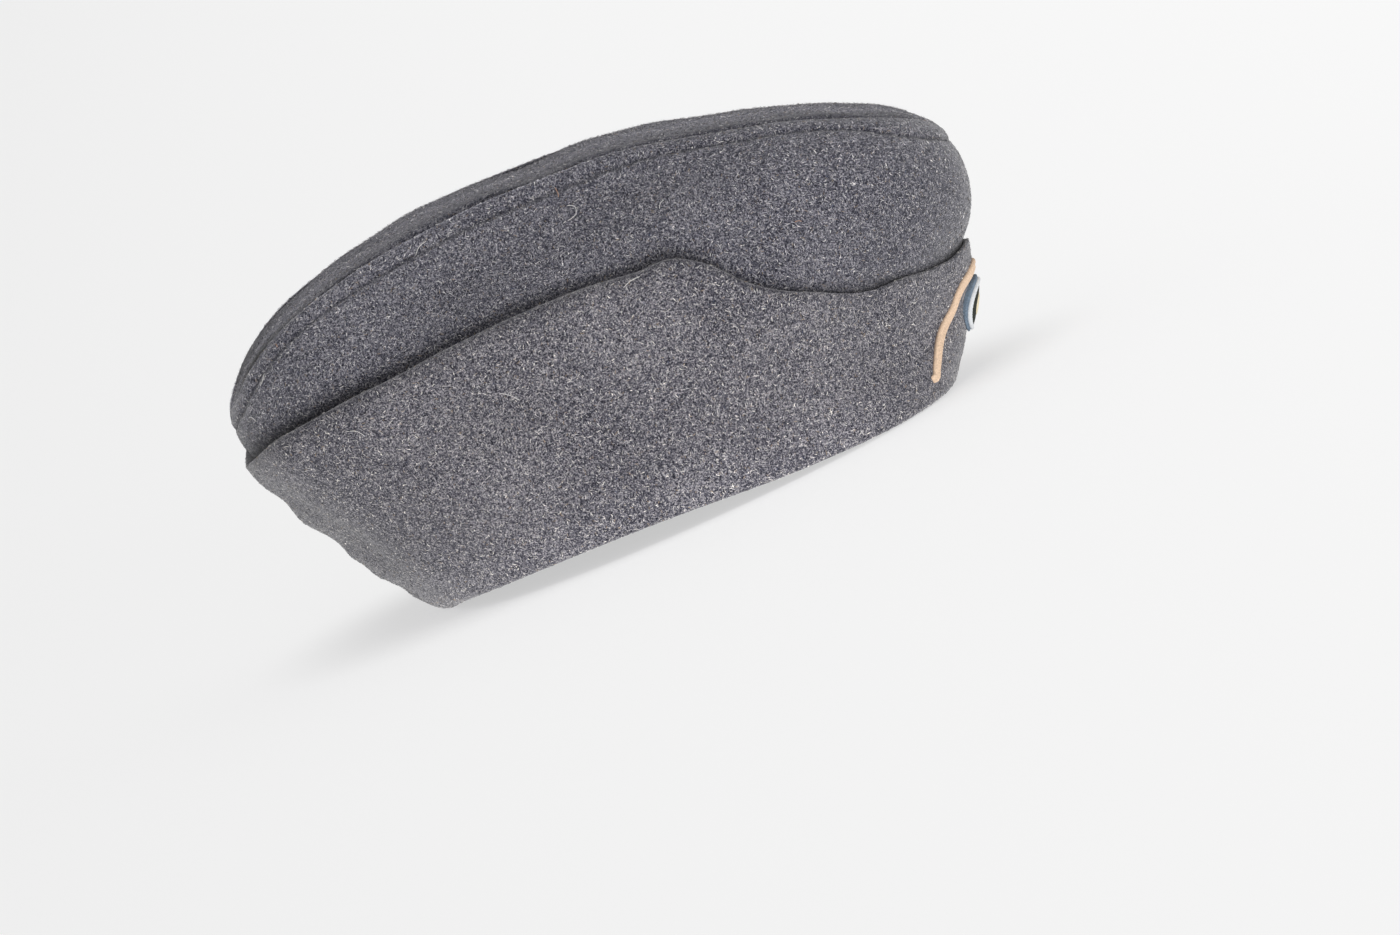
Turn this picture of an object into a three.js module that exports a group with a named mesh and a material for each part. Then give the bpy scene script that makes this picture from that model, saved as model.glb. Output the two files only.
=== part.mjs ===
// A wool side cap: a crown of two side panels and a top panel, a turn-up flap in two halves, a flat braid
// chevron and a layered cockade. Millimetres; +X is the front, +Y the wearer's left and +Z up. Every shape
// is worked out on the wearer's right and mirrored. The rim rests on z = 0 at its front and its back.
import * as THREE from 'three';

// Cloth
const crownThickness = 2.2;
const flapThickness = 2.6;
const foldThickness = 1.6; // the flap's lower edge, turned in under the crown
const foldRound = 1.8; // how far the fold's outer corner is rounded off
const flapGap = 0.4; // between crown and flap, measured level
const seamGap = 0.3; // between pieces sewn edge to edge
const topSwell = 1.0; // how far the top panel rises between the ridges
const topFullWidth = 16; // width at which it reaches that rise
const tuckReach = 4.5; // how far above the flap the crown comes out again

// Braid
const braidWidth = 3.2;
const braidThickness = 1.2;
const braidGap = 0.5; // between flap and braid
const braidTipRound = 3.0;

// Cockade
const cockadeHeight = 24; // of its centre, on the front seam
const cockadeLean = 26; // degrees that its face looks down
const cockadeStand = 2.6; // from the flap to the middle of its base's face
const cockadeBend = 24; // radius of its bend round the front seam
const cockadeBackRound = 0.7; // how far the base's back edge is drawn in

// Mesh fineness
const stationCount = 52; // round each half, front to back
const flapRows = 6; // up the crown behind the flap, and up the flap
const crownRows = 6; // up the crown above the flap
const topRows = 4; // across the top panel
const braidSteps = 16; // along each leg
const cockadeSteps = 6; // across a layer

// Crown waterlines, a row for each level: reach behind and ahead of mid-length, half width, and how square
// the front and back halves are (2 is an ellipse, less is a keel).
const levels = table(
  ['height', 'back', 'front', 'halfWidth', 'frontSquare', 'backSquare'],
  [
    [0, 99.0, 108.5, 70.0, 2.3, 2.05],
    [12, 107.8, 115.8, 72.5, 1.9, 2.05],
    [24, 115.4, 123.2, 74.2, 1.6, 2.05],
    [36, 121.8, 130.6, 75.0, 1.6, 2.1],
    [46, 127.6, 134.4, 75.2, 1.65, 2.15],
    [54, 132.2, 140.0, 74.8, 1.75, 2.2],
    [66, 137.5, 145.0, 73.0, 1.9, 2.3],
    [78, 142.0, 146.0, 70.5, 2.1, 2.5],
    [92, 144.0, 141.5, 65.0, 2.35, 2.8],
    [105, 141.0, 130.0, 57.5, 2.55, 3.1],
    [118, 134.0, 107.0, 49.0, 2.6, 3.4],
    [130, 121.0, 73.0, 41.5, 2.6, 3.6],
    [142, 104.0, 23.0, 35.0, 2.6, 3.8],
  ],
);

// Edges round one half, a row for each station from the front seam (0 degrees) to the back seam (180):
// heights of the rim, the flap's top and the ridge seam, how far the flap's top stands off the crown, and how
// far the crown is tucked in behind it.
const edges = table(
  ['angle', 'rim', 'flapTop', 'ridge', 'standOff', 'tuck'],
  [
    [0, 0.0, 46.4, 92.5, 0.2, 0.2],
    [5, 0.0, 46.0, 94.9, 0.2, 0.2],
    [10, 0.0, 45.0, 97.5, 0.2, 0.3],
    [15, 0.0, 44.6, 100.4, 0.2, 0.4],
    [20, 0.0, 45.2, 103.6, 0.2, 0.6],
    [28, 0.0, 46.2, 109.6, 0.3, 0.9],
    [36, 0.0, 48.2, 118.8, 0.4, 1.2],
    [44, 0.1, 50.4, 127.2, 0.4, 1.2],
    [52, 0.6, 54.4, 132.8, 0.5, 1.3],
    [58, 1.1, 59.0, 134.8, 0.6, 1.4],
    [64, 1.7, 64.8, 135.5, 0.8, 1.6],
    [68, 2.1, 70.4, 135.7, 1.0, 1.8],
    [71, 2.5, 76.8, 135.8, 1.2, 2.0],
    [74, 2.9, 86.6, 135.9, 1.5, 2.2],
    [77, 3.4, 92.2, 136.2, 1.8, 2.4],
    [84, 4.6, 94.2, 136.8, 2.2, 2.6],
    [92, 5.8, 95.9, 137.4, 2.6, 2.8],
    [102, 6.7, 97.3, 138.8, 3.0, 3.0],
    [112, 6.9, 96.6, 138.6, 3.4, 3.2],
    [122, 6.6, 94.4, 135.4, 3.8, 3.4],
    [132, 5.9, 92.6, 130.8, 4.0, 3.5],
    [140, 5.1, 89.8, 124.6, 4.0, 3.5],
    [148, 4.2, 87.0, 117.0, 3.6, 3.3],
    [156, 3.0, 84.5, 109.4, 2.8, 2.9],
    [164, 1.4, 82.4, 104.2, 1.8, 2.3],
    [172, 0.0, 80.5, 101.5, 1.0, 1.7],
    [180, 0.0, 79.4, 100.5, 0.8, 1.4],
  ],
);

// Dents pressed into the cloth, a row for each: place, depth and spread. A negative depth is a swelling.
const dents = [
  { angle: 105, height: 112, depth: 2.0, angleSpread: 14, heightSpread: 8 },
  { angle: 73, height: 118, depth: 1.8, angleSpread: 13, heightSpread: 9 },
  { angle: 50, height: 96, depth: -1.6, angleSpread: 16, heightSpread: 16 },
  { angle: 160, height: 40, depth: 1.6, angleSpread: 6, heightSpread: 18 },
];

// One leg of the braid, a row for each stretch: way along it, distance from the front seam, and height.
const braidLeg = table(
  ['along', 'side', 'height'],
  [
    [0, 0.0, 36.8],
    [9, 8.0, 35.2],
    [15, 13.2, 33.2],
    [19, 16.2, 30.7],
    [24, 18.6, 27.0],
    [30, 22.6, 23.6],
    [37, 27.6, 19.8],
    [44, 32.2, 15.4],
    [50, 35.2, 11.2],
    [55, 36.9, 7.7],
  ],
);

// Cockade: a base on the flap, and the layers on its face, from the inside outward.
const cockadeBase = { name: 'cockade_base', radius: 10.9, colour: '#5a6b7f' };
const cockadeLayers = [
  { name: 'cockade_ring', radius: 9.7, from: 0.3, to: 0.9, colour: '#e9e6e0' },
  { name: 'cockade_inner_ring', radius: 9.0, from: 1.2, to: 1.7, colour: '#2f3230' },
  { name: 'cockade_boss', radius: 4.6, from: 2.0, to: 2.4, colour: '#e8dcc0' },
];

const woolColour = '#73737a';
const braidColour = '#dcb697';

function table(columns, rows) {
  return Object.fromEntries(columns.map((name, column) => [name, rows.map((row) => row[column])]));
}

// Slope of a table's curve at one row, from its neighbours weighed by their spacing.
function slopeAt(xs, ys, row) {
  const before = row > 0 ? (ys[row] - ys[row - 1]) / (xs[row] - xs[row - 1]) : null;
  const after = row < xs.length - 1 ? (ys[row + 1] - ys[row]) / (xs[row + 1] - xs[row]) : null;
  if (before === null) return after;
  if (after === null) return before;
  const gapBefore = xs[row] - xs[row - 1];
  const gapAfter = xs[row + 1] - xs[row];
  return (gapBefore * after + gapAfter * before) / (gapBefore + gapAfter);
}

// Cubic Hermite curve through a table's rows, held level past both ends.
function smooth(xs, ys, x) {
  const at = THREE.MathUtils.clamp(x, xs[0], xs.at(-1));
  const row = Math.min(xs.findLastIndex((value) => value <= at), xs.length - 2);
  const gap = xs[row + 1] - xs[row];
  const t = (at - xs[row]) / gap;
  const u = 1 - t;
  return (1 + 2 * t) * u * u * ys[row]
    + t * u * u * gap * slopeAt(xs, ys, row)
    + t * t * (3 - 2 * t) * ys[row + 1]
    - t * t * u * gap * slopeAt(xs, ys, row + 1);
}

function level(name, height) {
  return smooth(levels.height, levels[name], height);
}

function edge(name, angle) {
  return Math.max(0, smooth(edges.angle, edges[name], THREE.MathUtils.radToDeg(angle)));
}

function dentDepth(angle, height) {
  let depth = 0;
  for (const dent of dents) {
    const round = (THREE.MathUtils.radToDeg(angle) - dent.angle) / dent.angleSpread;
    const up = (height - dent.height) / dent.heightSpread;
    depth += dent.depth * Math.exp(-round * round - up * up);
  }
  return depth;
}

// The crown's outer face, or a level offset of it.
function hullPoint(angle, height, offset = 0) {
  const cos = Math.cos(angle);
  const sin = Math.sin(angle);
  const grow = offset - dentDepth(angle, height);
  const reach = level(cos > 0 ? 'front' : 'back', height) + grow;
  const halfWidth = level('halfWidth', height) + grow;
  const square = level(cos > 0 ? 'frontSquare' : 'backSquare', height);
  const scale = (Math.abs(cos) ** square + Math.abs(sin) ** square) ** (-1 / square);
  return new THREE.Vector3(reach * scale * cos, -halfWidth * scale * sin, height);
}

function hullNormal(angle, height) {
  const turn = 0.01;
  const rise = 0.5;
  const along = hullPoint(angle + turn, height).sub(hullPoint(angle - turn, height));
  const up = hullPoint(angle, height + rise).sub(hullPoint(angle, height - rise));
  return up.cross(along).normalize();
}

function ridgePoint(angle) {
  return hullPoint(angle, edge('ridge', angle));
}

// Way up from the rim to the flap's top, from 0 to 1.
function flapClimb(angle, height) {
  const rim = edge('rim', angle);
  return (height - rim) / (edge('flapTop', angle) - rim);
}

// Level offset of the flap's inner face from the crown: it opens outward toward its top edge.
function flapOffset(angle, height) {
  return flapGap + edge('standOff', angle) * flapClimb(angle, height) ** 2;
}

// How far the crown is drawn in: more and more behind the flap, and less and less above it.
function tuckDepth(angle, height) {
  const rise = height - edge('flapTop', angle);
  return edge('tuck', angle) * (rise > 0 ? Math.exp(-rise / tuckReach) : flapClimb(angle, height) ** 2);
}

// The flap's outer face near the front seam, found from the distance to the right of the seam.
function flapFront(side, height) {
  const offset = flapOffset(0, height) + flapThickness;
  const reach = level('front', height) + offset;
  const halfWidth = level('halfWidth', height) + offset;
  const square = level('frontSquare', height);
  const fall = 1 - Math.abs(side / halfWidth) ** square;
  return new THREE.Vector3(reach * fall ** (1 / square), -side, height);
}

function flapFrontNormal(side, height) {
  const step = 0.5;
  const across = flapFront(side + step, height).sub(flapFront(side - step, height));
  const up = flapFront(side, height + step).sub(flapFront(side, height - step));
  return up.cross(across).normalize();
}

// Evenly spaced values from first to last.
function spread(first, last, steps) {
  return Array.from({ length: steps + 1 }, (_, k) => THREE.MathUtils.lerp(first, last, k / steps));
}

// A closed solid between two matching grids of points, joined along the grids' four borders.
function sheetSolid(outer, inner) {
  const rows = outer.length;
  const columns = outer[0].length;
  const points = [...outer.flat(), ...inner.flat()];
  const outside = (i, j) => i * columns + j;
  const inside = (i, j) => rows * columns + i * columns + j;
  const index = [];
  const quad = (a, b, c, d) => index.push(a, b, c, a, c, d);
  for (let i = 0; i + 1 < rows; i += 1) {
    for (let j = 0; j + 1 < columns; j += 1) {
      quad(outside(i, j), outside(i + 1, j), outside(i + 1, j + 1), outside(i, j + 1));
      quad(inside(i, j), inside(i, j + 1), inside(i + 1, j + 1), inside(i + 1, j));
    }
    quad(inside(i, 0), inside(i + 1, 0), outside(i + 1, 0), outside(i, 0));
    quad(outside(i, columns - 1), outside(i + 1, columns - 1), inside(i + 1, columns - 1), inside(i, columns - 1));
  }
  for (let j = 0; j + 1 < columns; j += 1) {
    quad(outside(0, j), outside(0, j + 1), inside(0, j + 1), inside(0, j));
    quad(inside(rows - 1, j), inside(rows - 1, j + 1), outside(rows - 1, j + 1), outside(rows - 1, j));
  }
  const geometry = new THREE.BufferGeometry().setFromPoints(points);
  geometry.setIndex(facesOut(points, index) ? index : index.reverse());
  geometry.computeVertexNormals();
  return geometry;
}

// Whether a closed surface's triangles face outward: its signed volume is then positive.
function facesOut(points, index) {
  let volume = 0;
  for (let k = 0; k < index.length; k += 3) {
    const [a, b, c] = index.slice(k, k + 3).map((corner) => points[corner]);
    volume += a.dot(b.clone().cross(c));
  }
  return volume > 0;
}

// One half's grid set clear of the centre seams, on the wearer's right (side -1) or left (side 1).
function halfGrid(grid, side) {
  return grid.map((row) => row.map((p) => new THREE.Vector3(p.x, side * (seamGap / 2 - p.y), p.z)));
}

// Heights up the crown at one station: from just above the fold to the flap's top, then on to the ridge.
function crownHeights(angle) {
  const foot = edge('rim', angle) + foldThickness + seamGap;
  const flapTop = edge('flapTop', angle);
  const behindFlap = spread(foot, flapTop, flapRows);
  const aboveFlap = spread(flapTop + tuckReach, edge('ridge', angle), crownRows - 1);
  return [...behindFlap, ...aboveFlap];
}

function crownSide(side) {
  const outer = [];
  const inner = [];
  for (const angle of spread(0, Math.PI, stationCount - 1)) {
    const heights = crownHeights(angle);
    const wall = heights.map((height) => hullPoint(angle, height, -tuckDepth(angle, height)));
    outer.push(wall);
    inner.push(wall.map((point, k) => (
      point.clone().addScaledVector(hullNormal(angle, heights[k]), -crownThickness)
    )));
  }
  return sheetSolid(halfGrid(outer, side), halfGrid(inner, side));
}

// The flap: a fold under the crown's lower edge, then a wall that rises outside the crown.
function flapSide(side) {
  const outer = [];
  const inner = [];
  for (const angle of spread(0, Math.PI, stationCount - 1)) {
    const rim = edge('rim', angle);
    const wall = crownHeights(angle).slice(0, flapRows + 1);
    outer.push([
      hullPoint(angle, rim, -crownThickness),
      hullPoint(angle, rim, flapGap + flapThickness - foldRound),
      ...wall.map((height) => hullPoint(angle, height, flapOffset(angle, height) + flapThickness)),
    ]);
    inner.push([
      hullPoint(angle, rim + foldThickness, -crownThickness),
      hullPoint(angle, rim + foldThickness, flapGap),
      ...wall.map((height) => hullPoint(angle, height, flapOffset(angle, height))),
    ]);
  }
  return sheetSolid(halfGrid(outer, side), halfGrid(inner, side));
}

// The top panel: at each station a strip across from one ridge seam to the other, raised in the middle. Its
// edges are cut along the side panels' normals, so that they meet the side panels edge to edge.
function crownTop() {
  const tip = THREE.MathUtils.degToRad(1);
  const turn = 0.01;
  const upper = [];
  const lower = [];
  for (const angle of [tip, ...spread(0, Math.PI, stationCount - 1).slice(1, -1), Math.PI - tip]) {
    const tangent = ridgePoint(angle + turn).sub(ridgePoint(angle - turn)).normalize();
    const normal = hullNormal(angle, edge('ridge', angle));
    const inward = tangent.clone().cross(normal);
    const top = ridgePoint(angle).addScaledVector(inward, seamGap);
    const under = top.clone().addScaledVector(normal, -crownThickness);
    const rise = new THREE.Vector3(tangent.z, 0, -tangent.x).normalize();
    const swell = topSwell * Math.min(1, 2 * Math.abs(top.y) / topFullWidth);
    const strip = (from) => spread(-1, 1, topRows).map((across) => (
      new THREE.Vector3(from.x, -across * from.y, from.z).addScaledVector(rise, swell * (1 - across * across))
    ));
    upper.push(strip(top));
    lower.push(strip(under));
  }
  return sheetSolid(upper, lower);
}

// Where the braid's middle line lies on the flap; along is negative on the wearer's left leg.
function braidPlace(along) {
  const way = Math.abs(along);
  const side = Math.sign(along) * smooth(braidLeg.along, braidLeg.side, way);
  const rounded = way * (1 - Math.exp(-((way / braidTipRound) ** 2)));
  return { side, height: smooth(braidLeg.along, braidLeg.height, rounded) };
}

function braidChevron() {
  const end = braidLeg.along.at(-1);
  const step = 0.2;
  const outer = [];
  const inner = [];
  for (const along of spread(-end, end, 2 * braidSteps)) {
    const here = braidPlace(along);
    const before = braidPlace(along - step);
    const after = braidPlace(along + step);
    const normal = flapFrontNormal(here.side, here.height);
    const tangent = flapFront(after.side, after.height).sub(flapFront(before.side, before.height)).normalize();
    const across = normal.clone().cross(tangent);
    const line = (lift) => spread(-braidWidth / 2, braidWidth / 2, 2).map((shift) => (
      flapFront(here.side, here.height).addScaledVector(across, shift).addScaledVector(normal, lift)
    ));
    outer.push(line(braidGap + braidThickness));
    inner.push(line(braidGap));
  }
  return sheetSolid(outer, inner);
}

// A point of the cockade's face, or above it: the face leans forward and bends round the front seam.
function cockadeFace(side, up, lift) {
  const lean = THREE.MathUtils.degToRad(cockadeLean);
  const out = cockadeStand + lift - side * side / (2 * cockadeBend);
  return flapFront(0, cockadeHeight).add(new THREE.Vector3(
    out * Math.cos(lean) + up * Math.sin(lean),
    -side,
    up * Math.cos(lean) - out * Math.sin(lean),
  ));
}

// Where the cockade's base lies on the flap, a seam gap clear of it.
function cockadeSeat(side, up) {
  const height = cockadeHeight + up * Math.cos(THREE.MathUtils.degToRad(cockadeLean));
  return flapFront(side, height).addScaledVector(flapFrontNormal(side, height), seamGap);
}

// A disc of points: a square grid of u and v, drawn in to a circle.
function discGrid(radius, place) {
  return spread(-1, 1, cockadeSteps).map((u) => spread(-1, 1, cockadeSteps).map((v) => (
    place(radius * u * Math.sqrt(1 - v * v / 2), radius * v * Math.sqrt(1 - u * u / 2))
  )));
}

function cockadeBaseSolid({ radius }) {
  const face = discGrid(radius, (side, up) => cockadeFace(side, up, 0));
  return sheetSolid(face, discGrid(radius - cockadeBackRound, cockadeSeat));
}

function cockadeLayer({ radius, from, to }) {
  const face = discGrid(radius, (side, up) => cockadeFace(side, up, to));
  return sheetSolid(face, discGrid(radius, (side, up) => cockadeFace(side, up, from)));
}

function piece(name, geometry, colour, roughness) {
  const material = new THREE.MeshStandardMaterial({ color: colour, roughness, metalness: 0 });
  const mesh = new THREE.Mesh(geometry, material);
  mesh.name = name;
  return mesh;
}

const cap = new THREE.Group();
cap.name = 'side_cap';
cap.add(
  piece('crown_right', crownSide(-1), woolColour, 0.95),
  piece('crown_left', crownSide(1), woolColour, 0.95),
  piece('crown_top', crownTop(), woolColour, 0.95),
  piece('flap_right', flapSide(-1), woolColour, 0.95),
  piece('flap_left', flapSide(1), woolColour, 0.95),
  piece('braid_chevron', braidChevron(), braidColour, 0.85),
  piece(cockadeBase.name, cockadeBaseSolid(cockadeBase), cockadeBase.colour, 0.9),
  ...cockadeLayers.map((layer) => piece(layer.name, cockadeLayer(layer), layer.colour, 0.9)),
);

export default cap;
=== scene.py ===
import math
import bpy
import numpy as np
from mathutils import Matrix, Vector


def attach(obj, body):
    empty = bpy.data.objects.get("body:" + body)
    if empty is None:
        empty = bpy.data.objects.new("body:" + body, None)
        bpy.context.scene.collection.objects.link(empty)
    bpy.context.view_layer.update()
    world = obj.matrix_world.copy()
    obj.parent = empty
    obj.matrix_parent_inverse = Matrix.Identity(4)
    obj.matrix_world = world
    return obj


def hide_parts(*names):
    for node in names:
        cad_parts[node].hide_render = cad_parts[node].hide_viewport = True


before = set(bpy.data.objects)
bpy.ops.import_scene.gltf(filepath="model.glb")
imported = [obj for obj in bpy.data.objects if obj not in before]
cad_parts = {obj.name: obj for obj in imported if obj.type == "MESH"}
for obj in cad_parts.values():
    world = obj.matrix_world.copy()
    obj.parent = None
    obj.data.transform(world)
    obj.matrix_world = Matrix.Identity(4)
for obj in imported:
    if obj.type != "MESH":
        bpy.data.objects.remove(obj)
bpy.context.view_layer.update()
scene = bpy.context.scene
mm = 0.001  # shapes are in millimetres, meshes in metres


def namedTable(columns, rows):
    # one array for each named column
    return dict(zip(columns, np.array(rows, float).T))


# The cap's form, which every cloth piece shares: +X front, +Y wearer's left, +Z up.
capForm = {
    "crownThickness": 2.2,
    "flapThickness": 2.6,
    "foldThickness": 1.6,  # the flap's lower edge, turned in under the crown
    "foldRound": (1.8, 4.6),  # of the lower edge's corner, on the sides and at the back
    "flapGap": 0.4,
    "seamGap": 0.3,
    "seamJoin": 0.04,  # between the two halves
    "seamLine": 0.35,  # painted shade along the front and back seams: how dark
    # painted shade on the cloth's inner faces
    "insideShade": 0.6,
    # crown waterlines: reach behind and ahead of mid-length, half width, squareness of each half
    "levels": namedTable(("height", "back", "front", "halfWidth", "frontSquare", "backSquare"), [
        (0, 99.0, 107.6, 70.0, 2.3, 2.05),
        (12, 107.8, 116.9, 72.5, 1.9, 2.05),
        (24, 115.4, 123.2, 74.2, 1.6, 2.05),
        (36, 121.8, 130.6, 75.0, 1.6, 2.1),
        (46, 127.6, 134.4, 75.2, 1.65, 2.15),
        (54, 132.2, 140.0, 74.8, 1.75, 2.2),
        (66, 137.5, 145.0, 73.0, 1.9, 2.3),
        (78, 142.0, 146.0, 70.5, 2.1, 2.5),
        (92, 144.0, 141.5, 65.0, 2.35, 2.8),
        (105, 141.0, 130.0, 57.5, 2.55, 3.1),
        (118, 134.0, 107.0, 49.0, 2.6, 3.4),
        (130, 121.0, 73.0, 41.5, 2.6, 3.6),
        (142, 104.0, 23.0, 35.0, 2.6, 3.8),
    ]),
    # round one half from the front seam: heights of rim, flap top and ridge, how far the flap's top
    # stands off, and how far the crown is tucked in above it
    "edges": namedTable(("angle", "rim", "flapTop", "ridge", "standOff", "tuck"), [
        (0, 0.0, 46.4, 92.5, 0.2, 0.2),
        (5, 0.0, 46.0, 93.8, 0.2, 0.2),
        (10, 0.0, 45.0, 95.2, 0.2, 0.3),
        (15, 0.0, 44.6, 97.6, 0.2, 0.4),
        (20, 0.0, 45.2, 100.6, 0.2, 0.6),
        (28, 0.0, 46.2, 106.8, 0.3, 0.9),
        (36, 0.0, 48.2, 116.2, 0.4, 1.2),
        (44, 0.1, 50.4, 124.2, 0.4, 1.2),
        (52, 0.6, 54.4, 130.4, 0.5, 1.3),
        (58, 1.1, 59.0, 133.4, 0.6, 1.4),
        (64, 1.7, 64.8, 135.0, 0.8, 1.6),
        (68, 2.1, 70.4, 135.6, 1.0, 1.8),
        (71, 2.5, 76.8, 135.9, 1.2, 2.0),
        (74, 2.9, 86.6, 136.2, 1.5, 2.2),
        (77, 3.4, 92.2, 136.2, 1.8, 2.4),
        (84, 4.6, 94.2, 136.5, 2.2, 2.6),
        (92, 5.8, 95.9, 136.8, 2.6, 2.8),
        (102, 6.7, 97.3, 137.5, 3.0, 3.0),
        (112, 6.9, 96.6, 137.2, 3.4, 3.2),
        (122, 6.6, 94.4, 134.9, 3.8, 3.4),
        (132, 5.9, 92.6, 130.6, 4.0, 3.5),
        (140, 5.1, 89.8, 124.6, 4.0, 3.5),
        (148, 4.2, 87.0, 117.0, 3.6, 3.3),
        (156, 3.0, 84.5, 109.4, 2.8, 2.9),
        (164, 1.4, 82.4, 104.2, 1.8, 2.3),
        (172, 0.0, 80.5, 101.5, 1.0, 1.7),
        (180, 0.0, 79.4, 100.5, 0.8, 1.4),
    ]),
    # dents pressed into the cloth; a negative depth is a swelling
    "dents": namedTable(("angle", "height", "depth", "angleSpread", "heightSpread"), [
        (105, 112, 2.0, 14, 8),
        (73, 118, 1.8, 13, 9),
        (50, 96, -1.6, 16, 16),
        (160, 40, 1.6, 6, 18),
        (180, 58, 1.1, 24, 15),
        (113, 68, 1.7, 10, 14),
    ]),
}


def smoothThrough(table, name, x):
    # cubic Hermite curve of a column over the first one, slopes from neighbouring rows, level past the ends
    xs, ys = next(iter(table.values())), table[name]
    x = np.clip(x, xs[0], xs[-1])
    row = np.clip(np.searchsorted(xs, x, side="right") - 1, 0, len(xs) - 2)
    slope = np.gradient(ys, xs)
    gap = xs[row + 1] - xs[row]
    t = (x - xs[row]) / gap
    u = 1 - t
    return ((1 + 2 * t) * u * u * ys[row] + t * u * u * gap * slope[row]
            + t * t * (3 - 2 * t) * ys[row + 1] - t * t * u * gap * slope[row + 1])


def wayFrom(start, full, value):
    # share of the way from start to full, held between 0 and 1
    return np.clip((value - start) / (full - start), 0, 1)


def bell(distance, width=1.0):
    # exp(-(distance / width)^2)
    return np.exp(-(distance / width) ** 2)


def turnAround(count):
    # even angles once round
    return np.linspace(0, 2 * np.pi, count, endpoint=False)


def levelAt(name, height):
    # one column of the waterlines at a height
    return smoothThrough(capForm["levels"], name, height)


def edgeAt(name, angle):
    # one column of the edges at an angle in radians, never below zero
    return np.maximum(0, smoothThrough(capForm["edges"], name, np.degrees(angle)))


def dentDepth(angle, height):
    # sum of depth * exp(-(angle / spread)^2 - (height / spread)^2)
    dents = capForm["dents"]
    angle, height = np.broadcast_arrays(angle, height)
    along = (np.degrees(angle)[..., None] - dents["angle"]) / dents["angleSpread"]
    up = (height[..., None] - dents["height"]) / dents["heightSpread"]
    return (dents["depth"] * np.exp(-along ** 2 - up ** 2)).sum(-1)


def hullPoint(angle, height, offset=0.0):
    # superellipse waterlines: x = reach s cos, y = -halfWidth s sin, s = (|cos|^n + |sin|^n)^(-1/n);
    # the offset less the dents grows reach and half width alike
    cos, sin = np.cos(angle), np.sin(angle)
    grow = offset - dentDepth(angle, height)
    reach = np.where(cos > 0, levelAt("front", height), levelAt("back", height)) + grow
    square = np.where(cos > 0, levelAt("frontSquare", height), levelAt("backSquare", height))
    s = (np.abs(cos) ** square + np.abs(sin) ** square) ** (-1 / square)
    halfWidth = levelAt("halfWidth", height) + grow
    return np.stack(np.broadcast_arrays(reach * s * cos, -halfWidth * s * sin, height), -1)


def unit(v):
    # vectors scaled to length one
    return v / np.maximum(np.linalg.norm(v, axis=-1, keepdims=True), 1e-9)


def normalAt(surface, along, height, step=0.01):
    # cross product of the rise and the way along a surface, by small differences
    way = surface(along + step, height) - surface(along - step, height)
    up = surface(along, height + 0.5) - surface(along, height - 0.5)
    return unit(np.cross(up, way))


def gridNormal(points):
    # cross product of the grid's two directions
    return unit(np.cross(np.gradient(points, axis=1), np.gradient(points, axis=0)))


def drift(points, size, seed):
    # smooth random field: a sum of plane waves about size long, with seeded directions and phases
    rng = np.random.default_rng(seed)
    waves = unit(rng.normal(size=(20, 3))) * (2 * np.pi / size) * rng.uniform(0.6, 1.5, (20, 1))
    return np.sin(points @ waves.T + rng.uniform(0, 2 * np.pi, 20)).sum(-1) / math.sqrt(10)


def meshFrom(name, points, faces, smooth=True):
    # a new object from arrays of points and of equal-sided faces
    mesh = bpy.data.meshes.new(name)
    mesh.vertices.add(len(points))
    mesh.vertices.foreach_set("co", (points * mm).astype(np.float32).ravel())
    mesh.loops.add(faces.size)
    mesh.loops.foreach_set("vertex_index", faces.astype(np.int32).ravel())
    mesh.polygons.add(len(faces))
    mesh.polygons.foreach_set("loop_start", np.arange(0, faces.size, faces.shape[1], dtype=np.int32))
    mesh.polygons.foreach_set("use_smooth", np.full(len(faces), smooth))
    mesh.update(calc_edges=True)
    piece = bpy.data.objects.new(name, mesh)
    scene.collection.objects.link(piece)
    return piece


def loopShell(name, outer, inner, shade):
    # a closed shell: at each station the outer row and the inner row back again make one loop, and the two
    # end loops are closed by quads between facing points
    loops = np.concatenate([outer, inner[:, ::-1]], axis=1)
    stations, around = loops.shape[:2]
    index = np.arange(stations * around).reshape(stations, around)
    turned = np.roll(index, -1, axis=1)
    walls = np.stack([index[:-1], index[1:], turned[1:], turned[:-1]], -1).reshape(-1, 4)
    near = np.arange(around // 2 - 1)
    far = around - 1 - near
    start = index[0, np.stack([near, near + 1, far - 1, far], -1)]
    end = index[-1, np.stack([near, far, far - 1, near + 1], -1)]
    faces = np.concatenate([walls, start, end])
    points = loops.reshape(-1, 3)
    a, b, c, d = (points[faces[:, n]] for n in range(4))
    volume = (a * np.cross(b, c)).sum() + (a * np.cross(c, d)).sum()
    piece = meshFrom(name, points, faces if volume > 0 else faces[:, ::-1])
    # the inner faces take the painted shade insideShade
    shades = np.concatenate([shade, np.full(inner.shape[:2], capForm["insideShade"])], axis=1)
    layer = piece.data.attributes.new("shade", "FLOAT", "POINT")
    layer.data.foreach_set("value", shades.astype(np.float32).ravel())
    return piece


def tintPoints(piece, colours):
    # linear colours that the fibre material reads, each for an equal run of the piece's points
    rgb = np.reshape(colours, (-1, 3))
    rgb = np.repeat(rgb, len(piece.data.vertices) // len(rgb), axis=0)
    rgba = np.pad(rgb, ((0, 0), (0, 1)), constant_values=1)
    layer = piece.data.color_attributes.new("fibreTint", "FLOAT_COLOR", "POINT")
    layer.data.foreach_set("color", rgba.astype(np.float32).ravel())


def seamTone(points):
    # painted shade where the halves are sewn together, as a bell across the middle
    return 1 - capForm["seamLine"] * bell(points[..., 1])


def mirrored(points, sign):
    # the right half, held just clear of the middle, or its mirror image
    y = np.minimum(points[..., 1], 0) - capForm["seamJoin"] / 2
    return np.stack([points[..., 0], -sign * y, points[..., 2]], -1)


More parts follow.
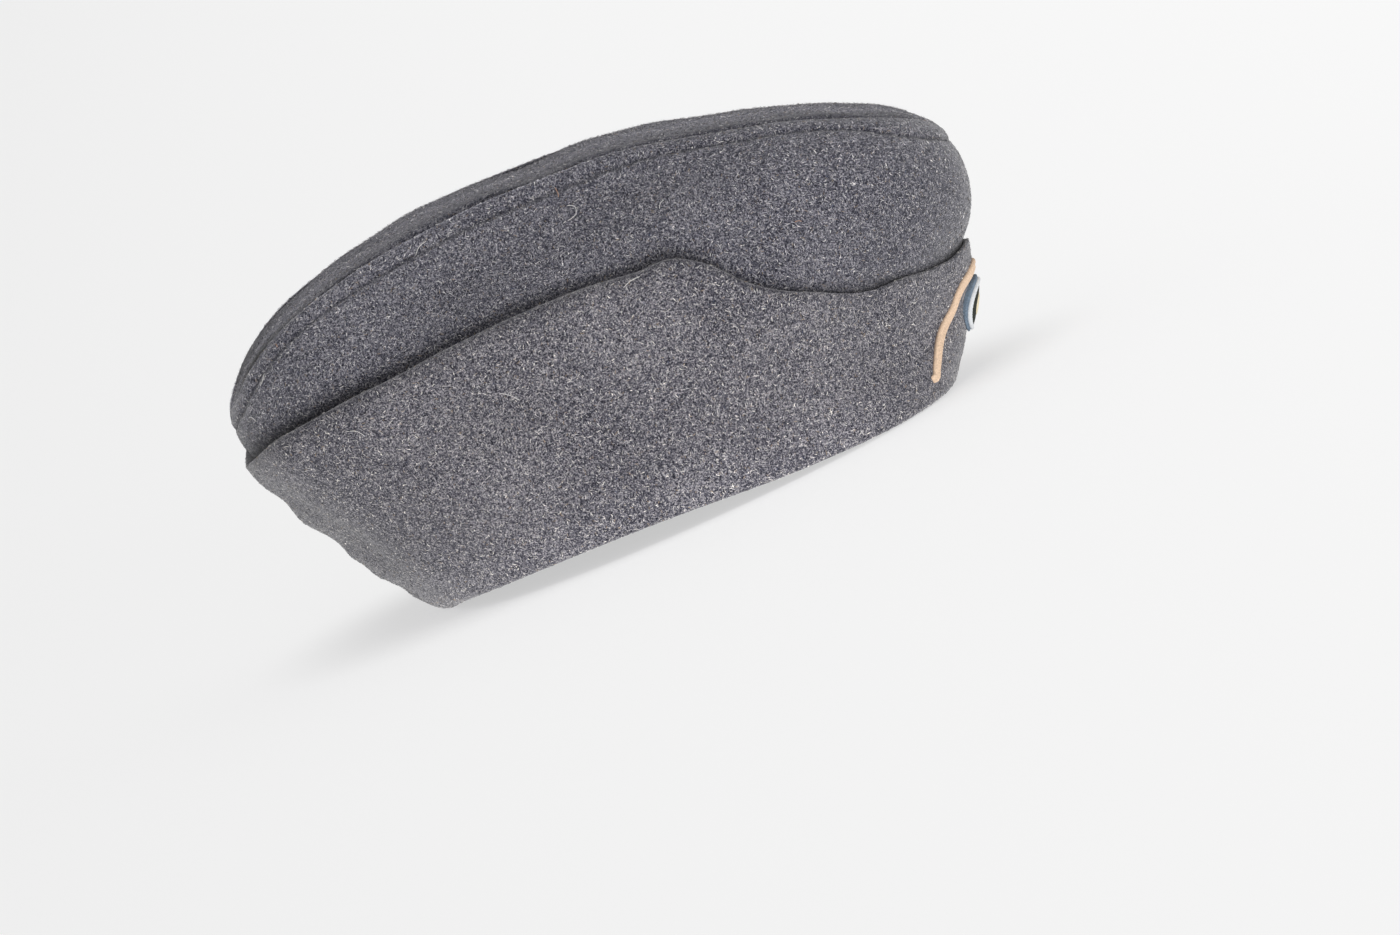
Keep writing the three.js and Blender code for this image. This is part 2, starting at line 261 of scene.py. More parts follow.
# Crown side panels: a wall up to the ridge, whose edge rolls over in a narrow lip, topstitched below.
crownCloth = {
    "stations": 250,
    # painted shade: the same wool as the flap, toned darker for the light on the crown
    "tone": 0.82,
    "strands": 36000,  # of nap
    "napSeed": 40,
    "hiddenRows": 8,  # behind the flap
    "shownRows": 32,  # from a little below the flap's top
    "overlap": 6.0,
    "bandRows": 26,  # close together along the ridge
    "band": 13.0,
    "lipRows": 9,
    "lipRadius": 1.3,
    "lipTurn": 170,  # degrees that the edge rolls over
    "welt": 0.5,  # swelling between the ridge and the stitched groove
    "stitchLine": 7.2,  # groove below the ridge
    "stitchDrop": 3.4,  # and how much lower it runs at the front
    "dropAngles": (40, 22),  # degrees where the drop starts and is full
    "groove": 0.6,
    "grooveWidth": 0.9,
    "pucker": 0.3,
    "puckerLength": 6.5,
    "puckerReach": 4.0,
    "puckerDrift": 30,
    "creaseReach": 4.5,
    "creaseShade": 0.5,  # painted shade just above the flap
    "creaseWidth": (0.7, 1.3),  # width of that painted shade: least, and more with the tuck
    "dentShade": 0.07,  # painted shade in dents and painted light on swellings, for each millimetre
    # painted shade along the stitched groove
    "grooveShade": 0.42,
    "edgeLight": 0.8,  # painted highlight along the ridge's edge
    "edgeTurn": (40, 20),  # degrees round the lip of the painted highlight: middle and spread
    # painted shade on the lip's inner face
    "seamShade": 0.4,
    "seamTurn": (75, 115),  # where the painted shade starts and is full
    "lipHem": 0.3,  # thickness at the lip's end
    "lumps": 0.35,
    "lumpSize": 46,
    "fadeHeight": 20,  # above the rim, over which the relief comes in
}


def ridgeFrame(angle):
    # ridge point, outward normal there, the side panel's own direction up past the ridge, and the ridge's
    ridge = edgeAt("ridge", angle)
    point = hullPoint(angle, ridge)
    before, after = angle - 0.01, angle + 0.01
    tangent = unit(hullPoint(after, edgeAt("ridge", after)) - hullPoint(before, edgeAt("ridge", before)))
    normal = normalAt(hullPoint, angle, ridge)
    return point, normal, np.cross(tangent, normal), tangent


def ridgeSlant(angle, probe=8.0):
    # height lost for each millimetre square to the ridge, found a little way down
    point, _, _, tangent = ridgeFrame(angle)
    away = hullPoint(angle, edgeAt("ridge", angle) - probe) - point
    away = away - (away * tangent).sum(-1, keepdims=True) * tangent
    return probe / np.linalg.norm(away, axis=-1)


def belowRidge(angle, height):
    # distance from the ridge, square to it
    return (edgeAt("ridge", angle) - height) / ridgeSlant(angle)


def stitchDepth(angle):
    # distance of the groove from the ridge, growing evenly toward the front
    c = crownCloth
    return c["stitchLine"] + c["stitchDrop"] * wayFrom(*c["dropAngles"], np.degrees(angle))


def alongStitches(angle, height, width):
    # 1 in the stitched groove, falling off on both sides as a bell
    return bell(belowRidge(angle, height) - stitchDepth(angle), width)


def flapClimb(angle, height):
    # way up from the rim to the flap's top, from 0 to 1
    return wayFrom(edgeAt("rim", angle), edgeAt("flapTop", angle), height)


def crownTuck(angle, height):
    # drawn in as the square of the climb behind the flap, and out again above it as exp(-rise / reach)
    rise = np.maximum(height - edgeAt("flapTop", angle), 0)
    return edgeAt("tuck", angle) * flapClimb(angle, height) ** 2 * np.exp(-rise / crownCloth["creaseReach"])


def crownRelief(angle, height, points):
    # soft lumps everywhere; below the ridge a welt, half a sine wave, and the groove with puckers along it
    c = crownCloth
    welt = c["welt"] * np.sin(np.pi * np.clip(belowRidge(angle, height) / stitchDepth(angle), 0, 1))
    groove = c["groove"] * alongStitches(angle, height, c["grooveWidth"])
    phase = 2 * np.pi * points[..., 0] / c["puckerLength"] + 2 * drift(points, c["puckerDrift"], seed=5)
    pucker = c["pucker"] * np.sin(phase) * alongStitches(angle, height, c["puckerReach"])
    return c["lumps"] * drift(points, c["lumpSize"], seed=3) + welt - groove + pucker


def crownWall(angle, height):
    # the tucked hull, pushed along its normal by the relief, which comes in above the rim
    wall = hullPoint(angle, height, -crownTuck(angle, height))
    facing = normalAt(hullPoint, angle, height)
    share = np.clip((height - edgeAt("rim", angle)) / crownCloth["fadeHeight"], 0, 1)
    return wall + facing * (crownRelief(angle, height, wall) * share)[..., None], facing


def crownShade(angle, height):
    # painted shade: darker just above the flap, as a bell, in dents and along the groove; painted light on
    # swellings
    c = crownCloth
    rise = np.maximum(height - edgeAt("flapTop", angle), 0)
    width = c["creaseWidth"][0] + c["creaseWidth"][1] * edgeAt("tuck", angle)
    crease = c["creaseShade"] * bell(rise, width) + c["dentShade"] * dentDepth(angle, height)
    return 1 - crease - c["grooveShade"] * alongStitches(angle, height, c["grooveWidth"])


def crownHeights(angle):
    # heights in three even runs: behind the flap, above it, and along the ridge up to the lip
    c = crownCloth
    foot = edgeAt("rim", angle) + capForm["foldThickness"] + capForm["seamGap"]
    hem = edgeAt("flapTop", angle) - c["overlap"]
    top = edgeAt("ridge", angle) - c["lipRadius"] * ridgeFrame(angle)[2][..., 2]
    bandFoot = top - c["band"] * ridgeSlant(angle)
    hidden = foot + (hem - foot) * np.linspace(0, 1, c["hiddenRows"], endpoint=False)
    shown = hem + (bandFoot - hem) * np.linspace(0, 1, c["shownRows"], endpoint=False)
    band = bandFoot + (top - bandFoot) * np.linspace(0, 1, c["bandRows"])
    return np.concatenate([hidden, shown, band], axis=1)


def crownSurface():
    # the wall by angle and height, then the lip: an arc over the ridge and down to the top panel's seam;
    # the inner face lies one thickness behind the wall and closes on the lip's end
    c, r = crownCloth, crownCloth["lipRadius"]
    angle = np.linspace(0, np.pi, c["stations"])[:, None]
    height = crownHeights(angle)
    wall, facing = crownWall(angle, height)
    point, normal, up, _ = ridgeFrame(angle)
    carried = wall[:, -1:] - hullPoint(angle, height[:, -1:])
    over = np.linspace(0, c["lipTurn"], c["lipRows"] + 1)[1:]
    turn = np.radians(over)[:, None]
    arc = point - r * normal - r * up + r * (normal * np.cos(turn) + up * np.sin(turn)) + carried
    outer = np.concatenate([wall, arc], axis=1)
    innerWall = wall - facing * capForm["crownThickness"]
    close = np.linspace(0, 1, c["lipRows"] + 1)[1:, None]
    innerArc = innerWall[:, -1:] * (1 - close) + (arc[:, -1:] - c["lipHem"] * up) * close
    # painted highlight on the lip's top and painted shade on its inner face
    middle, spread = c["edgeTurn"]
    paintedHighlight = c["edgeLight"] * bell(over - middle, spread)
    lipShade = 1 + paintedHighlight - c["seamShade"] * wayFrom(*c["seamTurn"], over)
    shade = np.concatenate([crownShade(angle, height), lipShade + 0 * angle], axis=1)
    return outer, np.concatenate([innerWall, innerArc], axis=1), shade * seamTone(outer)


# Top panel: a strip across from lip to lip at each station, full and soft between them.
topCloth = {
    "stations": 250,
    "columns": 38,
    # painted shade: the same wool as the flap, toned darker for the light on the top
    "tone": 0.86,
    "strands": 16000,
    "napSeed": 60,
    "tip": 1.5,  # degrees short of the front and back seams
    "tipWidth": 0.4,  # least half width, there
    "fullWidth": 8.0,  # half width from which the cloth swells fully
    "lipGap": 0.1,
    "edgeDrop": 1.0,  # of the seam below the lip's foot
    "climbReach": 1.2,
    "seamShade": 0.85,  # painted shadow at the seam, up to a little below the ridge
    "seamTop": 0.3,
    "shadeReach": 0.5,
    "darkest": 0.1,
    "borderShade": 0.35,  # painted shade, dimmer along both seams
    "border": 9.0,
    "paleMiddle": 0.4,  # paler along the middle
    "paleMiddleWidth": 8.0,
    "thickness": 1.8,
    "lumps": 0.3,
    "lumpSize": 30,
    "sheen": 0.25,
    # how far the cloth swells above the ridge, round one half
    "swell": namedTable(("angle", "height"), [
        (0, 0.4), (20, 1.6), (44, 2.2), (64, 2.1), (77, 1.2), (92, 0.9),
        (104, 2.3), (114, 2.7), (124, 1.8), (134, 0.8), (180, 0.3),
    ]),
}


def topSurface():
    # across each strip the cloth climbs from both seams as rise * (1 - exp(-distance / reach)), and has painted
    # shadow up to where it comes out above the ridge
    t, c = topCloth, crownCloth
    angle = np.radians(np.linspace(t["tip"], 180 - t["tip"], t["stations"]))[:, None]
    point, normal, up, tangent = ridgeFrame(angle)
    drop = c["lipRadius"] + t["edgeDrop"]
    edge = point - (2 * c["lipRadius"] + t["lipGap"]) * normal - drop * up
    half = np.maximum(-edge[..., 1:2], t["tipWidth"])
    sink = unit(np.stack([-tangent[..., 2], 0 * tangent[..., 0], tangent[..., 0]], -1))
    across = np.sin(np.linspace(-np.pi / 2, np.pi / 2, t["columns"]))[None, :, None]
    full = np.minimum(1, half / t["fullWidth"])  # less at the narrow tips
    rise = drop + smoothThrough(t["swell"], "height", np.degrees(angle))[..., None]
    climb = rise * (1 - np.exp((np.abs(across) - 1) * half / t["climbReach"])) * full
    flat = np.concatenate([edge[..., :1] + 0 * across, across * half, edge[..., 2:] + 0 * across], -1)
    upper = flat - sink * climb
    upper = upper - sink * (t["lumps"] * drift(upper, t["lumpSize"], seed=9))[..., None] * full
    above = np.maximum(climb[..., 0] - drop + t["seamTop"], 0)
    inside = (1 - np.abs(across[..., 0])) * half[..., 0]  # distance from the nearer seam
    shade = 1 - t["seamShade"] * bell(above, t["shadeReach"])
    # painted shade along both seams
    shade = shade - t["borderShade"] * bell(inside, t["border"])
    shade = shade + t["paleMiddle"] * bell(upper[..., 1], t["paleMiddleWidth"])
    return upper, upper + sink * t["thickness"], np.maximum(shade, t["darkest"])


# Flap: turned in under the crown, rounded at the rim, up outside the crown to a soft folded edge.
flapCloth = {
    "stations": 270,
    "foldRows": 4,
    "cornerRows": 6,
    "wallRows": 36,
    "wallSpacing": 0.8,  # a power; rows lie closer near the top
    "edgeRows": 7,
    "edgeTurn": 86,  # degrees that the top edge rolls in
    "tone": (1.0, 0.985, 0.94),
    "strands": 33000,
    "napSeed": 50,
    "roundFrom": (140, 168),  # degrees over which the lower corner grows
    "foldLeast": 0.3,  # of the turned-in edge
    "lumps": 0.28,
    "lumpSize": 40,
    "fadeHeight": 12,
    "backWaves": 0.7,  # soft waves in the loose cloth at the back
    "backSpread": 18,
    "waveSize": 17,
    "rimLine": 6.5,  # faint line of the hem above the rim
    "rimLineDepth": 0.25,
    "frontLean": 0.4,  # of the top edge, inward
    "frontSpread": 20,
    "leanHeight": 7,
    "rimLight": 0.31,  # painted bounce light: paler toward the rim, but not at the front
    "rimLightFrom": (42, 60),  # degrees where the painted light starts and is full
    "rimReach": 17,
    "topShade": 0.35,  # painted shade, darker toward the top edge
    "topReach": (0.6, 1.2),  # least, and more with the tuck
}


def flapOffset(angle, height):
    # offset of the inner face from the hull: gap + stand-off * climb^2
    return capForm["flapGap"] + edgeAt("standOff", angle) * flapClimb(angle, height) ** 2


def flapCorner(angle):
    # radius of the lower edge's corner, eased from the sides to the back as 3 t^2 - 2 t^3
    t = wayFrom(*flapCloth["roundFrom"], np.degrees(angle))
    side, back = capForm["foldRound"]
    return side + (back - side) * t ** 2 * (3 - 2 * t)


def flapRelief(angle, points):
    # soft lumps and, at the back, waves, both coming in above the rim, and a faint line along the hem
    p = flapCloth
    up = points[..., 2] - edgeAt("rim", angle)
    atBack = bell(180 - np.degrees(angle), p["backSpread"])
    waves = p["backWaves"] * atBack * drift(points, p["waveSize"], seed=23)
    relief = p["lumps"] * drift(points, p["lumpSize"], seed=21) + waves
    hem = p["rimLineDepth"] * bell(up - p["rimLine"])
    return relief * np.clip(up / p["fadeHeight"], 0, 1) - hem


def flapShade(angle, points):
    # painted bounce light toward the rim and painted shade toward the top edge, both as bells, and painted shade
    # in dents
    p, height = flapCloth, points[..., 2]
    rimLight = p["rimLight"] * wayFrom(*p["rimLightFrom"], np.degrees(angle))
    topReach = p["topReach"][0] + p["topReach"][1] * edgeAt("tuck", angle)
    shade = 1 + rimLight * bell(height - edgeAt("rim", angle), p["rimReach"])
    shade = shade - p["topShade"] * bell(edgeAt("flapTop", angle) - height, topReach)
    return shade - crownCloth["dentShade"] * dentDepth(angle, height)


def flapSurface():
    # at each angle the outer row runs under the fold, round its corner, up the wall and over the edge;
    # the inner row goes with it point for point, and the relief moves both along the outer normal
    p, f = flapCloth, capForm
    thick, r = f["flapThickness"], f["flapThickness"] / 2
    inside, outside = -f["crownThickness"], f["flapGap"] + thick
    angle = np.linspace(0, np.pi, p["stations"])[:, None]
    rim, top, corner = edgeAt("rim", angle), edgeAt("flapTop", angle), flapCorner(angle)
    foldShare = np.linspace(0, 1, p["foldRows"], endpoint=False)
    foldEnd = np.maximum(outside - corner, inside + p["foldLeast"])
    cornerShare = np.linspace(0, 1, p["cornerRows"], endpoint=False)
    turn = cornerShare * np.pi / 2
    height = rim + corner + (top - r - rim - corner) * np.linspace(0, 1, p["wallRows"]) ** p["wallSpacing"]
    over = np.linspace(0, np.radians(p["edgeTurn"]), p["edgeRows"] + 1)[1:]
    edgeHeight = top - r + r * np.sin(over)
    lean = p["frontLean"] * bell(np.degrees(angle), p["frontSpread"])
    wallOffset = flapOffset(angle, height) - lean * wayFrom(top - p["leanHeight"], top - r, height) ** 2
    edgeOffset = flapOffset(angle, top) - lean + r
    outer = np.concatenate([
        hullPoint(angle, rim + 0 * foldShare, inside + (foldEnd - inside) * foldShare),
        hullPoint(angle, rim + corner * (1 - np.cos(turn)), foldEnd + (outside - foldEnd) * np.sin(turn)),
        hullPoint(angle, height, wallOffset + thick),
        hullPoint(angle, edgeHeight, edgeOffset + r * np.cos(over)),
    ], axis=1)
    foldTop = rim + f["foldThickness"]
    inner = np.concatenate([
        hullPoint(angle, foldTop + 0 * foldShare, inside + (f["flapGap"] - inside) * foldShare),
        hullPoint(angle, foldTop + (corner - f["foldThickness"]) * cornerShare, f["flapGap"]),
        hullPoint(angle, height, wallOffset),
        hullPoint(angle, edgeHeight, edgeOffset - r * np.cos(over)),
    ], axis=1)
    push = gridNormal(outer) * flapRelief(angle, outer)[..., None]
    return outer + push, inner + push, flapShade(angle, outer) * seamTone(outer)


def areaOf(points):
    # cross products of the grid's cells
    a = points[1:, :-1] - points[:-1, :-1]
    b = points[:-1, 1:] - points[:-1, :-1]
    return np.linalg.norm(np.cross(a, b), axis=-1)


# Nap: fine strands lying on the cloth in mixed wool shades, each a ribbon of four triangles.
nap = {
    "length": (0.8, 2.3),
    "width": (0.13, 0.26),
    "lift": (0.02, 0.22),
    "curl": 0.7,  # radians from one third of a strand to the next
    "tilt": 0.3,
    "upLift": 1.4,  # more lift where the cloth faces up
    "rising": [(-0.03, 0), (0.05, 0.6), (0.06, 1.0), (0.03, 0.7)],  # root to tip: height, share of the lift
    "stretch": 1.1,  # most that uneven cells lengthen a strand
    "farWidth": 0.8,  # two thirds along
    "uneven": (0.15, 1.85),  # brightness from point to point
    "mix": 20,  # neighbours that share out the whole run of shades
    # shade in linear colour, and how often it comes
    "shades": namedTable(("red", "green", "blue", "share"), [
        (0.013, 0.013, 0.023, 0.16),
        (0.052, 0.052, 0.076, 0.13),
        (0.125, 0.123, 0.158, 0.14),
        (0.238, 0.232, 0.270, 0.16),
        (0.385, 0.374, 0.405, 0.15),
        (0.560, 0.540, 0.555, 0.13),
        (0.780, 0.750, 0.740, 0.07),
        (0.950, 0.920, 0.890, 0.02),
        (0.330, 0.255, 0.185, 0.03),
        (0.040, 0.058, 0.115, 0.01),
    ]),
}


def gridSample(grid, a, b):
    # bilinear reading of a grid at fractional places, held at its borders
    a, b = np.clip(a, 0, grid.shape[0] - 1.001), np.clip(b, 0, grid.shape[1] - 1.001)
    i, j = a.astype(int), b.astype(int)
    s, t = (a - i)[..., None], (b - j)[..., None]
    return ((grid[i, j] * (1 - s) + grid[i + 1, j] * s) * (1 - t)
            + (grid[i, j + 1] * (1 - s) + grid[i + 1, j + 1] * s) * t)


def napPaths(surface, count, rng):
    # roots spread evenly over the grid's area; each strand takes three steps, turning by its curl, and its
    # points are read off the grid so that it follows the cloth; gives their places on the grid too
    area = areaOf(surface).ravel()
    cell = np.searchsorted(np.cumsum(area) / area.sum(), (np.arange(count) + rng.random(count)) / count)
    i, j = np.divmod(np.minimum(cell, len(area) - 1), surface.shape[1] - 1)
    along, up = surface[i + 1, j] - surface[i, j], surface[i, j + 1] - surface[i, j]
    alongSize, upSize = (np.maximum(np.linalg.norm(v, axis=-1), 0.05) for v in (along, up))
    skew = np.clip((along * up).sum(-1) / (alongSize * upSize), -0.9, 0.9)  # cosine of the cell's corner
    square = np.sqrt(1 - skew ** 2)
    a, b = i + rng.random(count), j + rng.random(count)
    heading = rng.uniform(0, 2 * np.pi, count) + np.arange(3)[:, None] * rng.normal(0, nap["curl"], count)
    step = rng.uniform(*nap["length"], count) / 3
    east, north = (np.concatenate([np.zeros((1, count)), np.cumsum(step * turn, 0)])
                   for turn in (np.cos(heading), np.sin(heading)))
    a, b = a + (east - north * skew / square) / alongSize, b + north / square / upSize
    spine = gridSample(surface, a, b)
    reach = spine - spine[0]
    size = np.maximum(np.linalg.norm(reach, axis=-1), 1e-6)
    return spine[0] + reach * np.minimum(1, nap["stretch"] * np.hypot(east, north) / size)[..., None], a, b


def napColours(count, rng):
    # a shade for each strand, by the shares; neighbours draw their ranks from one shuffled run
    shades, mix = nap["shades"], nap["mix"]
    rank = rng.permuted(np.tile(np.arange(mix), (count // mix + 1, 1)), axis=1).ravel()[:count]
    share = np.cumsum(shades["share"]) / shades["share"].sum()
    pick = np.minimum(np.searchsorted(share, (rank + rng.random(count)) / mix), len(share) - 1)
    return np.stack([shades["red"], shades["green"], shades["blue"]], -1)[pick, None]


def napOn(name, surface, shade, cloth, sign=0):
    # each path is lifted along the cloth's normal and widened to a ribbon, pointed at both ends; a point's
    # colour is the strand's times the cloth's tone and painted light and shade there, unevenly
    count, rng = cloth["strands"], np.random.default_rng(cloth["napSeed"] + sign)
    spine, a, b = napPaths(surface, count, rng)
    normal = gridSample(gridNormal(surface), a[0], b[0])
    lift = rng.uniform(*nap["lift"], count) * (1 + nap["upLift"] * np.maximum(normal[:, 2], 0))
    held, share = np.array(nap["rising"]).T[..., None]
    spine = spine + normal * (held + share * lift)[..., None]
    aside = unit(np.cross(spine[2] - spine[1], normal)) + normal * rng.normal(0, nap["tilt"], (count, 1))
    half = aside * rng.uniform(*nap["width"], (count, 1)) / 2
    farHalf = nap["farWidth"] * half
    root, near, far, tip = spine
    points = np.stack([root, near + half, near - half, far + farHalf, far - farHalf, tip], 1)
    ribbon = np.array([(0, 1, 2), (1, 3, 4), (1, 4, 2), (3, 5, 4)])
    faces = (np.arange(count)[:, None, None] * 6 + ribbon).reshape(-1, 3)
    piece = meshFrom(name, points.reshape(-1, 3), faces, smooth=False)
    colour = napColours(count, rng)
    dark = gridSample(shade[..., None], a, b)[[0, 1, 1, 2, 2, 3]].swapaxes(0, 1)
    tintPoints(piece, colour * cloth["tone"] * dark * rng.uniform(*nap["uneven"], (count, 6, 1)))
    return piece


# Materials
def setInputs(node, values):
    # constants set directly on a node's sockets
    for name, value in values.items():
        node.inputs[name].default_value = value


def newMaterial(name, surface):
    # a node material whose shader has the given constants
    material = bpy.data.materials.new(name)
    material.use_nodes = True
    shader = material.node_tree.nodes["Principled BSDF"]
    setInputs(shader, surface)
    return material, shader, material.node_tree.nodes, material.node_tree.links


def noiseNode(nodes, links, values):
    # noise with the given constants, on the object's own coordinates
    noise = nodes.new("ShaderNodeTexNoise")
    setInputs(noise, values)
    links.new(nodes.new("ShaderNodeTexCoord").outputs["Object"], noise.inputs["Vector"])
    return noise.outputs["Fac"]


def rampNode(nodes, links, level, stops):
    # colour ramp over a level, with a stop for each (place, colour)
    ramp = nodes.new("ShaderNodeValToRGB")
    elements = ramp.color_ramp.elements
    while len(elements) < len(stops):
        elements.new(0.5)
    for element, (place, colour) in zip(elements, stops):
        element.position = place
        element.color = (*colour, 1)
    links.new(level, ramp.inputs["Fac"])
    return ramp.outputs["Color"]


def mathNode(nodes, links, operation, first, second):
    # one operation on another node's output and a number or a second output
    node = nodes.new("ShaderNodeMath")
    node.operation = operation
    for socket, value in zip(node.inputs, (first, second)):
        if isinstance(value, (int, float)):
            socket.default_value = value
        else:
            links.new(value, socket)
    return node.outputs[0]


woolFinish = {
    "fibre": {"Scale": 1700, "Detail": 3, "Roughness": 0.65, "Distortion": 0.6},
    "clump": {"Scale": 420, "Detail": 2, "Roughness": 0.6},
    "wear": {"Scale": 22, "Detail": 2, "Roughness": 0.6},
    "share": {"clump": 0.15, "wear": 0.1},  # added to the fibres' noise
    "ramp": [(0.40, (0.010, 0.010, 0.018)), (0.50, (0.077, 0.077, 0.105)), (0.62, (0.45, 0.435, 0.475))],
    "bump": {"Strength": 0.5, "Distance": 0.0004},
    "cloth": {"Roughness": 0.95, "Specular IOR Level": 0.15, "Sheen Roughness": 0.5},
    "nap": {"Roughness": 0.9, "Specular IOR Level": 0.2, "Sheen Roughness": 0.5},
    "sheen": 0.5,
}


def woolMaterial(name, tone, sheen):
    # fine noise for single fibres, a coarser one for clumps and a wide one for wear, added up by their
    # shares, go through one grey ramp and are scaled by the cloth's painted light and shade
    w = woolFinish
    material, shader, nodes, links = newMaterial(name, {**w["cloth"], "Sheen Weight": sheen})
    total = noiseNode(nodes, links, w["fibre"])
    for kind, share in w["share"].items():
        part = mathNode(nodes, links, "MULTIPLY", noiseNode(nodes, links, w[kind]), share)
        total = mathNode(nodes, links, "ADD", total, part)
    level = mathNode(nodes, links, "DIVIDE", total, 1 + sum(w["share"].values()))
    grey = rampNode(nodes, links, level, [(stop, np.multiply(tone, colour)) for stop, colour in w["ramp"]])
    shade = nodes.new("ShaderNodeAttribute")
    shade.attribute_name = "shade"
    shaded = nodes.new("ShaderNodeVectorMath")
    shaded.operation = "SCALE"
    links.new(grey, shaded.inputs[0])
    links.new(shade.outputs["Fac"], shaded.inputs["Scale"])
    links.new(shaded.outputs["Vector"], shader.inputs["Base Color"])
    bump = nodes.new("ShaderNodeBump")
    setInputs(bump, w["bump"])
    links.new(level, bump.inputs["Height"])
    links.new(bump.outputs["Normal"], shader.inputs["Normal"])
    return material


def napMaterial(name, sheen):
    # each strand's own colour
    material, shader, nodes, links = newMaterial(name, {**woolFinish["nap"], "Sheen Weight": sheen})
    tint = nodes.new("ShaderNodeAttribute")
    tint.attribute_name = "fibreTint"
    links.new(tint.outputs["Color"], shader.inputs["Base Color"])
    return material


def plainCloth(name, cloth, colour, grain):
    # one colour that fine noise takes between two multiples of it
    material, shader, nodes, links = newMaterial(name, cloth["surface"])
    dark, light = (np.minimum(1, np.multiply(share, colour)) for share in grain)
    grained = rampNode(nodes, links, noiseNode(nodes, links, cloth["fibre"]), [(0.3, dark), (0.7, light)])
    links.new(grained, shader.inputs["Base Color"])
    return material


def finishPiece(piece, material, slot, *nodes):
    # material and body of a piece, and the solids that it stands for; the slot is not used
    piece.data.materials.append(material)
    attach(piece, "root")
    if nodes:
        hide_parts(*nodes)


# the same wool three times: the crown's and the top's tones are painted shade against the flap's
woolCrown = woolMaterial("wool_crown", crownCloth["tone"], woolFinish["sheen"])
woolFlap = woolMaterial("wool_flap", flapCloth["tone"], woolFinish["sheen"])
woolTop = woolMaterial("wool_top", topCloth["tone"], topCloth["sheen"])
woolNap = napMaterial("wool_nap", woolFinish["sheen"])
topNap = napMaterial("wool_top_nap", topCloth["sheen"])


def clothHalf(panelName, napName, node, grids, sign, first, cloth, material):
    # shell of the right or left half, with nap on its rows from the first one that shows
    outer, inner, shade = grids
    panel = loopShell(panelName, mirrored(outer, sign), mirrored(inner, sign), shade)
    finishPiece(panel, material, "wool_cloth", node)
    fibres = napOn(napName, mirrored(outer[:, first:], sign)[::-sign], shade[::-sign, first:], cloth, sign)
    finishPiece(fibres, woolNap, "wool_cloth")
    return panel, fibres


crownGrids, flapGrids = crownSurface(), flapSurface()
topOuter, topInner, topDark = topSurface()
sides = {"right": -1, "left": 1}
for side, sign in sides.items():
    panel, fibres = clothHalf("crownPanel_" + side, "crownNap_" + side, "crown_" + side, crownGrids, sign,
                              crownCloth["hiddenRows"], crownCloth, woolCrown)
    flap, fibres = clothHalf("flapHalf_" + side, "flapNap_" + side, "flap_" + side, flapGrids, sign,
                             flapCloth["foldRows"], flapCloth, woolFlap)
    print("cloth made on the", side)

top = loopShell("crownTopPanel", topOuter, topInner, topDark)
finishPiece(top, woolTop, "wool_cloth", "crown_top")
fibres = napOn("topNap", topOuter, topDark, topCloth)
finishPiece(fibres, topNap, "wool_cloth")
print("top panel made")


def flapFront(side, height):
    # the flap's outer face near the front seam, solved for x from the distance to the right of the seam
    offset = flapOffset(0.0, height) + capForm["flapThickness"]
    square = levelAt("frontSquare", height)
    fall = 1 - np.abs(side / (levelAt("halfWidth", height) + offset)) ** square
    x = (levelAt("front", height) + offset) * fall ** (1 / square)
    return np.stack(np.broadcast_arrays(x, -side, height), -1)


def tubesAlong(name, rings):
    # rings of points carried along one or more paths, the ends closed by fans to the ring's middle
    count, stations, around = rings.shape[:3]
    index = np.arange(stations * around).reshape(stations, around)
    turned = np.roll(index, -1, axis=1)
    walls = np.stack([index[:-1], turned[:-1], turned[1:], index[1:]], -1).reshape(-1, 4)
    walls = np.concatenate([walls[:, (0, 1, 2)], walls[:, (0, 2, 3)]])
    first, last = stations * around, stations * around + 1
    start = np.stack([turned[0], index[0], np.full(around, first)], -1)
    end = np.stack([index[-1], turned[-1], np.full(around, last)], -1)
    points = np.concatenate([rings.reshape(count, -1, 3), rings[:, :1].mean(2), rings[:, -1:].mean(2)], 1)
    faces = np.concatenate([walls, start, end])
    faces = (np.arange(count)[:, None, None] * points.shape[1] + faces).reshape(-1, 3)
    return meshFrom(name, points.reshape(-1, 3), faces)


def threadRings(path, facing, radius, around):
    # path + radius * (aside cos + above sin), set up from the path's direction and the cloth's facing
    ahead = unit(np.gradient(path, axis=1))
    aside = unit(np.cross(facing, ahead))
    above = np.cross(ahead, aside)
    turn = turnAround(around)[:, None]
    return path[:, :, None] + radius * (aside[:, :, None] * np.cos(turn) + above[:, :, None] * np.sin(turn))


# Topstitching: a row of short stitches in the groove below the ridge.
stitching = {
    "angles": (3, 177),
    "samples": 3000,  # along the groove
    "pitch": 3.1,
    "length": 2.2,
    "rise": 0.35,
    "sunk": 0.15,
    "radius": 0.17,
    "stations": 5,
    "around": 6,
    "colour": (0.05, 0.052, 0.065),
}


def stitchRings():
    # points along the groove, read at even distances; each stitch rises out of the cloth as sin(pi t)
    st = stitching
    angle = np.radians(np.linspace(*st["angles"], st["samples"]))
    line, facing = crownWall(angle, edgeAt("ridge", angle) - stitchDepth(angle) * ridgeSlant(angle))
    way = np.concatenate([[0], np.cumsum(np.linalg.norm(np.diff(line, axis=0), axis=1))])
    t = np.linspace(0, 1, st["stations"])
    place = np.arange(0, way[-1] - st["pitch"], st["pitch"])[:, None] + st["length"] * t
    path, facing = (np.stack([np.interp(place, way, v[:, k]) for k in range(3)], -1) for v in (line, facing))
    path = path + facing * (st["rise"] * np.sin(np.pi * t) - st["sunk"])[:, None]
    return threadRings(path, facing, st["radius"], st["around"])


